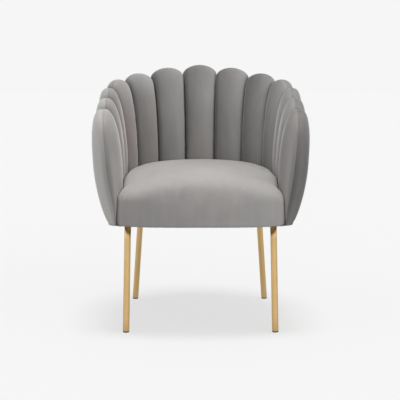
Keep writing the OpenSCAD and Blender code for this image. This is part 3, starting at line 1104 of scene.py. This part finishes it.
@dataclass
class SeatCover:
    """The seat block's velvet cover, which also goes down in front of the front rail."""

    material: Material
    barrel: Barrel = BARREL
    half_w: float = 0.2252
    front_half_w: float = 0.2372
    swell: float = 0.0040
    reach: float = 0.290
    front_bow: float = 0.028
    bow_power: float = 4.0
    corner_r: float = 0.014
    flare_len: float = 36.0 * MM
    top_z: float = 0.470
    back_z: float = 0.454
    side_z: float = 0.430
    front_z: float = 0.388
    side_power: float = 3.0
    corner_power: float = 2.1
    front_power: float = 3.4
    roll_start: float = 0.30
    roll_power: float = 0.9
    rear_lip: float = 4.0 * MM
    front_lip: float = 17.0 * MM
    # How far the cover's foot is drawn in, in mm
    foot_in: float = 3.0
    corner_in: float = 0.6
    foot: float = 5.0 * MM
    hollow_ring: float = 0.88
    lip_ring: float = 0.94
    ring_step: float = 0.06
    # Painted light: the seat's top is lighter than its sides, and its front and sides are darker on the left
    # and lighter on the right.
    nap_side: float = 0.475
    painted_top_light: float = 0.435
    painted_light_across: float = 0.6
    warm: float = 0.15
    cuts: tuple[int, int, int] = (83, 83, 15)
    plan_points: list[Vector] = field(default_factory=list)

    @property
    def flare_y(self) -> float:
        """Depth at which the sides start to widen towards the front corners."""
        return self.reach - self.corner_r - self.flare_len

    def set_plan(self) -> None:
        """Walks the plan's outline from the middle of the back, over the left side."""
        corner = (self.front_half_w - self.corner_r, self.reach - self.corner_r)
        turn = [math.radians(90.0 * k / 60) for k in range(61)]
        outline = [(-self.half_w * math.sin(a), self.half_w * math.cos(a)) for a in turn]
        outline += [(-self.half_w, -k / 60 * self.flare_y) for k in range(1, 60)]
        outline += [(-mix(self.half_w, self.front_half_w, (k / 30) ** 2),
                     -mix(self.flare_y, corner[1], k / 30))
                    for k in range(1, 31)]
        outline += [(-corner[0] - self.corner_r * math.cos(a), -corner[1] - self.corner_r * math.sin(a))
                    for a in turn[2::2]]
        outline += [(corner[0] * t, -self.reach - self.front_bow * (1.0 - abs(t) ** self.bow_power))
                    for t in (k / 60 - 1.0 for k in range(1, 61))]
        left = [Vector(point) for point in outline]
        self.plan_points = left + [Vector((-p.x, p.y)) for p in reversed(left[1:-1])]

    def outline(self, angle_share: float) -> Vector:
        """A point of the outline.

        Args:
            angle_share: The share of the way round, from the middle of the back.

        Returns:
            The point, relative to the barrel's axis.
        """
        place = (angle_share % 1.0) * len(self.plan_points)
        k = int(place)
        a = self.plan_points[k % len(self.plan_points)]
        b = self.plan_points[(k + 1) % len(self.plan_points)]
        return a.lerp(b, place - k)

    def apron(self, p: Vector) -> float:
        """How far a point of the outline belongs to the apron."""
        return smooth((-p.y - self.flare_y) / (self.reach - self.corner_r - self.flare_y))

    def ahead(self, p: Vector) -> float:
        """How far a point of the outline belongs to the front half's end."""
        return smooth((-p.y / self.reach - 0.5) / 0.5)

    def edge_z(self, p: Vector) -> float:
        """Height at which the cover leaves its upright side.

        Args:
            p: A point of the outline.

        Returns:
            The height in metres.
        """
        if p.y > 0.0:
            return mix(self.side_z, self.back_z, smooth(p.y / self.half_w))
        return mix(self.side_z, self.front_z, self.ahead(p))

    def edge_power(self, p: Vector) -> float:
        """Squareness of the rounding at a point of the outline: the front corners are softest."""
        middle = 1.0 - smooth(abs(p.x) / self.half_w)
        return mix(self.side_power, mix(self.corner_power, self.front_power, middle), self.ahead(p))

    def edge_at(self, cube: Vector, ring: float) -> Vector:
        """The point of the outline that a vertex belongs to.

        Args:
            cube: The vertex's place on the cube.
            ring: Its distance from the cube's upright axis.

        Returns:
            The point, relative to the barrel's axis.
        """
        if ring < TINY:
            return self.outline(0.0)
        x, y = cube.x / ring, cube.y / ring
        if abs(y) >= abs(x):
            return self.outline(-x / 8.0 if y > 0 else 0.5 + x / 8.0)
        return self.outline(0.25 - y / 8.0 if x < 0 else 0.75 + y / 8.0)

    def underside(self, edge: Vector, ring: float, low: float) -> Vector:
        """Places a vertex of the underside: a rim that stands on the frame round a hollow.

        Args:
            edge: Its point of the outline.
            ring: Its distance from the cube's upright axis.
            low: The rim's height there.

        Returns:
            Its place, relative to the barrel's axis.
        """
        inward = -edge.normalized()
        back = edge + inward * mix(self.rear_lip, self.front_lip, self.apron(edge))
        deep = self.barrel.pad_base_z
        if ring > self.lip_ring:
            p = back.lerp(edge + inward * self.foot_in * MM, (ring - self.lip_ring) / self.ring_step)
            return Vector((p.x, p.y, low))
        if ring > self.hollow_ring:
            share = (ring - self.hollow_ring) / self.ring_step
            p = back + inward * self.foot_in * MM * (1.0 - share)
            return Vector((p.x, p.y, mix(deep, low, share)))
        p = (back + inward * self.foot_in * MM) * (ring / self.hollow_ring)
        return Vector((p.x, p.y, deep))

    def spot(self, cube: Vector) -> Vector:
        """Places one vertex of the cut-up cube.

        Args:
            cube: Its place on the cube.

        Returns:
            Its place, relative to the barrel's axis.
        """
        ring = max(abs(cube.x), abs(cube.y))
        edge = self.edge_at(cube, ring)
        low = mix(self.barrel.pad_base_z, self.barrel.body_z, self.apron(edge))
        edge_z, power = self.edge_z(edge), self.edge_power(edge)
        if cube.z > 1.0 - TINY:
            inner = (1.0 - ring) ** self.roll_power if ring < 1.0 else 0.0
            share = math.cos(mix(self.roll_start, QUARTER, inner)) ** (2.0 / power)
            p = edge * share
            return Vector((p.x, p.y, mix(edge_z, self.top_z, bow(share, power))))
        if cube.z < -1.0 + TINY:
            return self.underside(edge, ring, low)
        share = math.cos(self.roll_start) ** (2.0 / power)
        z = mix(low, mix(edge_z, self.top_z, bow(share, power)), (cube.z + 1.0) / 2.0)
        if z > edge_z:
            p = edge * bow((z - edge_z) / (self.top_z - edge_z), power)
        else:
            corner = self.front_half_w - self.corner_r
            beside = self.apron(edge) * smooth((abs(edge.x) - corner) / self.corner_r)
            tuck = max(0.0, 1.0 - (z - low) / self.foot) ** 2
            p = edge - edge.normalized() * mix(self.foot_in, self.corner_in, beside) * MM * tuck
            height = (z - low) / (edge_z - low)
            swell = self.swell * beside * (1.0 - height ** 2) * (0.55 + 0.45 * smooth(height / 0.3))
            p.x += math.copysign(swell, p.x)
        return Vector((p.x, p.y, z))

    def held(self, cube: Vector) -> float:
        """How firmly a vertex is held while the cover settles.

        Args:
            cube: Its place on the cube.

        Returns:
            1 where it is sewn and 0 where it is free.
        """
        if cube.z > 1.0 - TINY:
            return smooth((max(abs(cube.x), cube.y) - self.lip_ring) / self.ring_step)
        front = smooth((-cube.y - 0.8) / 0.15) * smooth((1.0 - abs(cube.x)) / 0.12)
        return max(1.0 - front, smooth(1.0 - (cube.z + 1.0) / 0.5))

    def build(self) -> Object:
        """Makes the piece, before its cloth settles."""
        self.set_plan()
        made = block(self.cuts)
        tone_and_painted_light, warmth, _, sewn = layers(made, "tone_and_painted_light", "warmth", "groove_shade", "sewn")
        for vertex in made.verts:
            vertex[sewn] = self.held(vertex.co)
            vertex.co = self.spot(vertex.co)
        face_outward(made)
        for vertex in made.verts:
            # Painted light: lighter where the cover faces up, and elsewhere darker to the left and lighter
            # to the right.
            level = math.hypot(vertex.normal.x, vertex.normal.z) * smooth(vertex.normal.z / 0.4)
            vertex[tone_and_painted_light] = self.nap_side + self.painted_top_light * level ** 3.5 \
                + self.painted_light_across * vertex.co.x * (1.0 - level)
            vertex[warmth] = self.warm
        return piece(centred(made), "seat_cover", self.material, ["seat_pad"])


# Legs

# Where the rear legs stand round the barrel, from straight back
REAR_ANGLE = math.radians(54.0)


@dataclass(frozen=True)
class Leg:
    """One slanted tube: its name, its foot on the floor and its upper end under the plate."""

    name: str
    foot: Pair
    top: Pair

    def stand(self, height: float) -> Matrix:
        """A matrix that slants an upright round piece along the leg, with level ends.

        Args:
            height: The level of the leg's upper end.

        Returns:
            The matrix, whose origin is the foot.
        """
        dx, dy = self.top[0] - self.foot[0], self.top[1] - self.foot[1]
        flat = math.hypot(dx, dy)
        stretch = Matrix.Scale(math.hypot(flat, height) / height, 4, Vector((dx / flat, dy / flat, 0.0)))
        slant = Matrix.Identity(4)
        slant[0][2], slant[1][2] = dx / height, dy / height
        slant[0][3], slant[1][3] = self.foot
        return slant @ stretch


@dataclass
class LegSet:
    """Four tube legs with their glides, welds and screws."""

    brass: Material
    nylon: Material
    steel: Material
    front_foot: Pair = (0.2175, -0.250)
    front_top: Pair = (0.2115, -0.220)
    rear_foot: Pair = (0.2165, 0.190)
    rear_top_r: float = 0.2375
    front_plate: Pair = (0.1945, -0.220)
    rear_plate_r: float = 0.2205
    hole_at: float = 20.0 * MM
    tube_r: float = 0.0095
    wall: float = 0.0015
    ease: float = 0.8 * MM
    glide_h: float = 0.004
    play: float = 0.3 * MM
    throat: float = 3.2 * MM
    sides: int = 48
    # Radius and height in mm, from the thread's end over the head into the socket
    screw_profile: tuple[Pair, ...] = (
        (0.0, 28.0), (1.2, 27.4), (2.5, 24.0), (2.5, -0.15), (4.7, -0.15), (5.0, -0.5), (5.0, -1.3),
        (4.75, -2.1), (4.1, -2.75), (3.2, -3.1), (2.1, -3.15), (2.0, -3.0), (2.0, -1.3), (0.0, -0.9))

    @property
    def plate_z(self) -> float:
        """Level of the plates' underside."""
        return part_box("front_left_plate")[0].z

    def legs(self) -> list[Leg]:
        """The four legs, left and right as seen from the front."""
        rear_top = (self.rear_top_r * math.sin(REAR_ANGLE), self.rear_top_r * math.cos(REAR_ANGLE))
        ends = (("front", self.front_foot, self.front_top), ("rear", self.rear_foot, rear_top))
        return [Leg(f"{row}_{side}", *((sign * x, y + CENTRE_Y) for x, y in (foot, top)))
                for side, sign in (("left", -1.0), ("right", 1.0)) for row, foot, top in ends]

    def tube(self, leg: Leg) -> Object:
        """Makes one leg tube with an eased lower rim.

        Args:
            leg: The leg.

        Returns:
            The piece.
        """
        inner, low, high = self.tube_r - self.wall, self.glide_h, self.plate_z
        profile = [(self.tube_r - self.ease * (1.0 - math.sin(a)), low + self.ease * (1.0 - math.cos(a)))
                   for a in (0.0, math.pi / 6, math.pi / 3, QUARTER)]
        profile += [(self.tube_r, mix(low, high, k / 8)) for k in range(1, 9)]
        profile += [(inner, mix(high, low, k / 8)) for k in range(9)]
        made = turned(profile, self.sides, closed=True)
        bmesh.ops.transform(made, matrix=leg.stand(high), verts=made.verts)
        return piece(made, f"{leg.name}_tube", self.brass, [f"{leg.name}_leg"])

    def glides(self) -> Object:
        """Makes the glides under all tubes as one piece."""
        r, stem = self.tube_r - self.play, self.tube_r - self.wall - self.play
        high = self.glide_h - 0.05 * MM
        profile = [(0.0, 0.0), (r - 1.2 * MM, 0.0), (r - 0.5 * MM, 0.25 * MM), (r, 0.9 * MM), (r, high),
                   (stem, high), (stem, 18.0 * MM), (stem - 1.0 * MM, 20.0 * MM), (0.0, 20.0 * MM)]
        whole = bmesh.new()
        for leg in self.legs():
            add_mesh(whole, turned(profile, self.sides), leg.stand(self.plate_z))
        return piece(whole, "foot_glides", self.nylon, ["glides"])

    def weld(self, leg: Leg) -> Object:
        """Makes the fillet weld round a tube's upper end, a little uneven.

        Args:
            leg: The leg.

        Returns:
            The piece.
        """
        high, r, throat = self.plate_z, self.tube_r, self.throat
        inner = r - 0.2 * MM
        profile = [(inner, high), (inner, high - throat), (r + 0.35 * MM, high - throat),
                   (r + 1.0 * MM, high - 0.52 * throat), (r + 2.1 * MM, high - 0.22 * throat),
                   (r + 3.0 * MM, high)]
        made = turned(profile, self.sides, closed=True)
        for vertex in made.verts:
            x, y, z = vertex.co
            if math.hypot(x, y) > r + 0.1 * MM and z < high - TINY:
                bead = noise.noise(Vector((math.atan2(y, x) * 5.0, 0.0, leg.foot[0])))
                vertex.co.z -= 0.5 * MM * abs(bead)
        bmesh.ops.transform(made, matrix=leg.stand(high), verts=made.verts)
        return piece(made, f"{leg.name}_weld", self.brass)

    def screw(self) -> BMesh:
        """Makes one screw with a button head and a hexagon socket, its head below level 0."""
        made = turned([(r * MM, z * MM) for r, z in self.screw_profile], self.sides)
        for vertex in made.verts:
            x, y, z = vertex.co
            if 1.0 * MM < math.hypot(x, y) < 2.3 * MM and z < -1.0 * MM:
                side = (math.atan2(y, x) % (math.pi / 3.0)) - math.pi / 6.0
                vertex.co.x, vertex.co.y = x / math.cos(side), y / math.cos(side)
        return made

    def screws(self) -> Object:
        """Makes the screws of all plates as one piece."""
        whole = bmesh.new()
        centre = Matrix.Translation((0.0, CENTRE_Y, self.plate_z))
        x, y = self.front_plate
        for sign in (-1.0, 1.0):
            front = centre @ Matrix.Translation((sign * x, y, 0.0))
            rear = centre @ Matrix.Rotation(-sign * REAR_ANGLE, 4, "Z") \
                @ Matrix.Translation((0.0, self.rear_plate_r, 0.0))
            for number, plate in enumerate((front, rear)):
                for k in range(4):
                    hole = (self.hole_at * (1 if k % 2 else -1), self.hole_at * (1 if k > 1 else -1), 0.0)
                    drive = Matrix.Rotation(1.7 * k + 2.9 * number + sign, 4, "Z")
                    add_mesh(whole, self.screw(), plate @ Matrix.Translation(hole) @ drive)
        return piece(whole, "leg_bolts", self.steel, ["leg_screws"])

    def build(self) -> None:
        """Makes all pieces."""
        for leg in self.legs():
            self.tube(leg)
            self.weld(leg)
        self.glides()
        self.screws()


# The underside's edge

@dataclass
class UnderTrim:
    """Velvet that is turned under the frame, the linings beside the seat's front, and staples."""

    velvet: Material
    steel: Material
    outer_r: float = 0.2617
    inner_r: float = 0.2450
    arm_y: float = -0.256
    under_z: float = 0.3164
    raised_z: float = 0.3203
    cloth_t: float = 0.0009
    pleat: float = 0.7 * MM
    tone_and_painted_light: float = 0.42
    # Outer edge round the arm's front corner, and on from there to the seat's front
    corner: tuple[Triple, ...] = (
        (0.2622, -0.2700, 0.3203), (0.2618, -0.2770, 0.3203), (0.2607, -0.2812, 0.3203),
        (0.2530, -0.2858, 0.3203), (0.2430, -0.2907, 0.3198), (0.2378, -0.2884, 0.3185),
        (0.2310, -0.2850, 0.3164))
    corner_inner_x: tuple[float, ...] = (0.2450, 0.2450, 0.2450, 0.2450, 0.2450, 0.2400, 0.2330)
    front_half_w: float = 0.2240
    front_in: float = 0.0075
    along_cuts: int = 219
    across_cuts: int = 11
    lining_size: Triple = (0.0205, 0.0016, 0.0720)
    lining_at: Triple = (0.2394, -0.2805, 0.3537)
    staple_every: float = 0.034
    staple_in: float = 5.0 * MM
    staple_size: Triple = (10.0 * MM, 0.9 * MM, 0.5 * MM)
    plate_half_angle: float = math.radians(11.0)

    def cover_front(self, x: float) -> float:
        """Depth of the dust cover's bowed front edge, a little ahead of it."""
        return -0.2945 + 0.51 * min(x, 0.2420) ** 2

    def seat_front(self, x: float) -> float:
        """Depth of the hem's edge behind the seat's bowed front."""
        share = min(1.0, x / (SeatCover.front_half_w - SeatCover.corner_r))
        return self.front_in - SeatCover.reach - SeatCover.front_bow * (1.0 - share ** SeatCover.bow_power)

    def stations(self) -> list[tuple[Vector, Vector]]:
        """Pairs of a point on the outer and the inner edge, from the back's middle to the front's.

        Returns:
            The pairs, with the outer edge's level in Z.
        """
        made = []
        for k in range(41):
            angle = QUARTER * k / 40
            outer, inner = (Vector((math.sin(angle) * r, math.cos(angle) * r, 0.0))
                            for r in (self.outer_r, self.inner_r))
            made.append((outer + Vector((0.0, 0.0, self.raised_z)), inner))
        for k in range(1, 21):
            y = self.arm_y * k / 20
            made.append((Vector((self.outer_r, y, self.raised_z)), Vector((self.inner_r, y, 0.0))))
        for outer, x in zip(self.corner, self.corner_inner_x):
            made.append((Vector(outer), Vector((x, self.cover_front(x), 0.0))))
        for k in range(25):
            x = self.front_half_w * (1.0 - k / 24)
            outer = Vector((x, self.seat_front(x), self.under_z))
            made.append((outer, Vector((x, self.cover_front(x), 0.0))))
        return made

    def hem(self) -> Object:
        """Makes the turned-under strip, pleated a little where it goes round."""
        pairs = self.stations()
        run = [0.0]
        for (a, _), (b, _) in zip(pairs, pairs[1:]):
            run.append(run[-1] + (b - a).length)
        made = block((self.along_cuts, self.across_cuts, 1))
        tone_and_painted_light, _ = layers(made, "tone_and_painted_light", "warmth")
        for vertex in made.verts:
            length = (vertex.co.x + 1.0) / 2.0 * run[-1]
            k = min(max(1, sum(1 for place in run if place < length)), len(run) - 1)
            share = (length - run[k - 1]) / (run[k] - run[k - 1])
            outer, inner = (a.lerp(b, share) for a, b in zip(pairs[k - 1], pairs[k]))
            across = (vertex.co.y + 1.0) / 2.0
            z = mix(outer.z, self.under_z, smooth(across / 0.7))
            free = smooth(across / 0.12) * smooth((0.68 - across) / 0.25)
            pleat = self.pleat * noise.noise(Vector((length * 130.0, across * 1.5, 0.0))) * free
            side = vertex.co.z * self.cloth_t / 2.0 * bow(2.0 * across - 1.0, 6.0)
            vertex[tone_and_painted_light] = self.tone_and_painted_light
            vertex.co = outer.lerp(inner, across)
            vertex.co.z = z + pleat + side
        ends = [f for f in made.faces if all(abs(v.co.x) < TINY for v in f.verts)]
        bmesh.ops.delete(made, geom=ends, context="FACES_ONLY")
        bmesh.ops.mirror(made, geom=made.verts[:] + made.edges[:] + made.faces[:], axis="X", merge_dist=TINY)
        bmesh.ops.recalc_face_normals(made, faces=made.faces)
        return piece(centred(made), "turned_under_hem", self.velvet)

    def linings(self) -> Object:
        """Makes the velvet strips between the seat's front corners and the arms."""
        whole = bmesh.new()
        x, y, z = self.lining_at
        for sign in (-1.0, 1.0):
            add_mesh(whole, eased_box(self.lining_size, 0.6 * MM, 3), Matrix.Translation((sign * x, y, z)))
        return piece(centred(whole), "arm_linings", self.velvet)

    def staple_spots(self) -> list[tuple[Vector, float]]:
        """Places of the staples on the right, clear of the leg plates.

        Returns:
            Pairs of a place and the staple's turn in radians.
        """
        pairs = self.stations()
        walked = 0.5 * self.staple_every
        count = 0
        spots = []
        for (_, a), (_, b) in zip(pairs, pairs[1:]):
            walked += (b - a).length
            if walked < self.staple_every or (b - a).length < TINY:
                continue
            walked = 0.0
            count += 1
            along = (b - a).normalized()
            spot = a + Vector((along.y, -along.x, 0.0)) * self.staple_in
            if abs(math.atan2(spot.x, spot.y) - REAR_ANGLE) > self.plate_half_angle:
                spots.append((spot, math.atan2(along.y, along.x) + 0.12 * math.sin(7.0 * count)))
        return spots

    def staples(self) -> Object:
        """Makes the wire staples round the dust cover."""
        whole = bmesh.new()
        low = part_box("dust_cover")[0].z - 0.27 * MM
        for spot, slant in self.staple_spots():
            for sign in (-1.0, 1.0):
                place = Matrix.Translation((sign * spot.x, spot.y, low))
                add_mesh(whole, eased_box(self.staple_size, 0.16 * MM, 2),
                         place @ Matrix.Rotation(sign * slant, 4, "Z"))
        return piece(centred(whole), "cover_staples", self.steel, smooth_faces=False)

    def build(self) -> None:
        """Makes all pieces."""
        self.hem()
        self.linings()
        self.staples()


# The seat frame

@dataclass
class SeatFrame:
    """The CAD pieces inside and under the body, which keep their shapes."""

    finishes: dict[str, Material]

    def dress(self) -> None:
        """Gives each piece its finish."""
        for node, material in self.finishes.items():
            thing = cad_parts[node]
            thing.data.materials.clear()
            thing.data.materials.append(material)
            LOG.info("%s keeps its shape, %s", node, material.name)


# The studio

@dataclass(frozen=True)
class Lamp:
    """A far, wide lamp: its width is in degrees, and its light travels towards a direction."""

    name: str
    strength: float
    width: float
    towards: Triple

    def hang(self) -> None:
        """Adds the lamp."""
        data = bpy.data.lights.new(self.name, "SUN")
        data.energy = self.strength
        data.angle = math.radians(self.width)
        thing = linked(self.name, data)
        thing.rotation_euler = Vector(self.towards).to_track_quat("-Z", "Y").to_euler()


@dataclass
class Studio:
    """A pale floor, soft light and the photograph's viewpoint."""

    white: float = 0.922
    bounced: float = 0.66
    pale_share: float = 0.66
    floor_size: float = 60.0
    ambient: float = 0.40
    lens: float = 87.06
    sensor: float = 36.0
    eye: Triple = (-0.0006, -3.00061, 0.7261)
    pitch: float = math.radians(7.016)
    turn: float = math.radians(0.35)
    lamps: tuple[Lamp, ...] = (
        Lamp("overhead", 1.40, 20.0, (-0.02, 0.03, -1.0)),
        Lamp("right_side", 0.60, 50.0, (-0.8, 0.6, -0.5)),
        Lamp("left_side", 0.45, 40.0, (1.0, 0.35, -0.3)),
        Lamp("front", 0.52, 60.0, (0.0, 1.0, -0.3)))

    @staticmethod
    def seen(shader: Shader) -> Socket:
        """Tells the rays that show the background: from the camera, in gloss or through glass.

        Args:
            shader: The shader that asks.

        Returns:
            1 on those rays and 0 on others.
        """
        camera, gloss, through = (shader.node("ShaderNodeLightPath", output=f"Is {kind} Ray")
                                  for kind in ("Camera", "Glossy", "Transmission"))
        return shader.node("ShaderNodeMath", {"operation": "ADD", "use_clamp": True},
                           {0: camera, 1: gloss + through})

    def floor(self) -> None:
        """Makes the floor. It shows the background's tone, and a pale part of the shadow."""
        shader = Shader.named("pale_floor")
        seen = self.seen(shader)
        colour = shader.blend(seen, (self.bounced,) * 3, (self.white,) * 3)
        shade = shader.node("ShaderNodeBsdfDiffuse", {}, {"Color": colour})
        glow = shader.node("ShaderNodeEmission", {}, {"Strength": self.white})
        mixed = shader.node("ShaderNodeMixShader", {}, {0: seen * self.pale_share, 1: shade, 2: glow})
        shader.node("ShaderNodeOutputMaterial", {}, {"Surface": mixed})
        made = bmesh.new()
        bmesh.ops.create_grid(made, x_segments=1, y_segments=1, size=self.floor_size)
        linked("floor", mesh_of(made, "floor", shader.owner))

    def world(self) -> None:
        """Sets the world's light and the background's tone."""
        bpy.context.scene.world = bpy.data.worlds.new("studio")
        shader = Shader(bpy.context.scene.world)
        strength = self.seen(shader) * (self.white - self.ambient) + self.ambient
        light = shader.node("ShaderNodeBackground", {}, {"Color": (*WHITE, 1.0), "Strength": strength})
        shader.node("ShaderNodeOutputWorld", {}, {"Surface": light})

    def camera(self) -> None:
        """Sets the camera at the photograph's viewpoint."""
        data = bpy.data.cameras.new("camera")
        data.lens = self.lens
        data.sensor_width = self.sensor
        data.clip_end = 200.0
        thing = linked("camera", data)
        thing.location = Matrix.Rotation(-self.turn, 3, "Z") @ Vector(self.eye)
        thing.rotation_euler = (QUARTER - self.pitch, 0.0, -self.turn)
        bpy.context.scene.camera = thing

    def build(self) -> None:
        """Makes the studio."""
        bpy.context.scene.view_settings.view_transform = "Standard"
        self.floor()
        self.world()
        for lamp in self.lamps:
            lamp.hang()
        self.camera()


# The chair

def main() -> None:
    """Builds the chair and its studio."""
    logging.basicConfig(level=logging.INFO, format="%(name)s %(message)s")
    velvet, brass = Velvet().make(), BrassFinish().make()
    steel = Mottled("zinc_steel", (0.42, 0.43, 0.45), (0.62, 0.63, 0.65),
                    (420.0, 3.0, 0.6), (0.30, 0.18), metallic=1.0, dent=0.0).make()
    nylon = Mottled("dark_nylon", (0.055, 0.045, 0.036), (0.12, 0.10, 0.085),
                    (700.0, 4.0, 0.7), (0.42, 0.25), metallic=0.0, dent=0.05 * MM).make()
    beech = ((0.66, 0.49, 0.31), (0.50, 0.34, 0.19))
    long_grain = Timber("beech_along", *beech, (1.0, 0.08, 1.0)).make()
    cross_grain = Timber("beech_across", *beech, (0.08, 1.0, 1.0)).make()
    ply = Timber("bent_plywood", (0.62, 0.45, 0.28), (0.42, 0.28, 0.16), (1.0, 1.0, 0.06)).make()
    webbing = Woven("elastic_webbing", (0.075, 0.075, 0.08), (0.02, 0.02, 0.022), 240.0, 900.0).make()
    felt = Woven("needled_felt", (0.34, 0.33, 0.31), (0.20, 0.19, 0.18), 5.0, 650.0).make()
    cloth = Woven("dust_cloth", (0.050, 0.050, 0.052), (0.018, 0.018, 0.019), 520.0, 1100.0).make()
    covers = [ChannelCover(number, side, velvet).build()
              for number in range(1, 2 * BARREL.side_channels + 2) for side in Face]
    covers.append(SeatCover(velvet).build())
    Settling().run(covers)
    for cover in covers:
        soften(cover)
    LegSet(brass, nylon, steel).build()
    UnderTrim(velvet, steel).build()
    SeatFrame({
        "back_shell": ply, "front_rail": cross_grain, "back_rail": cross_grain,
        "left_side_rail": long_grain, "right_side_rail": long_grain,
        "front_corner_blocks": cross_grain, "rear_corner_blocks": cross_grain,
        "long_straps": webbing, "cross_straps": webbing, "seat_felt": felt, "dust_cover": cloth,
        "front_left_plate": brass, "front_right_plate": brass,
        "rear_left_plate": brass, "rear_right_plate": brass,
    }).dress()
    Studio().build()


if __name__ == "__main__":
    main()
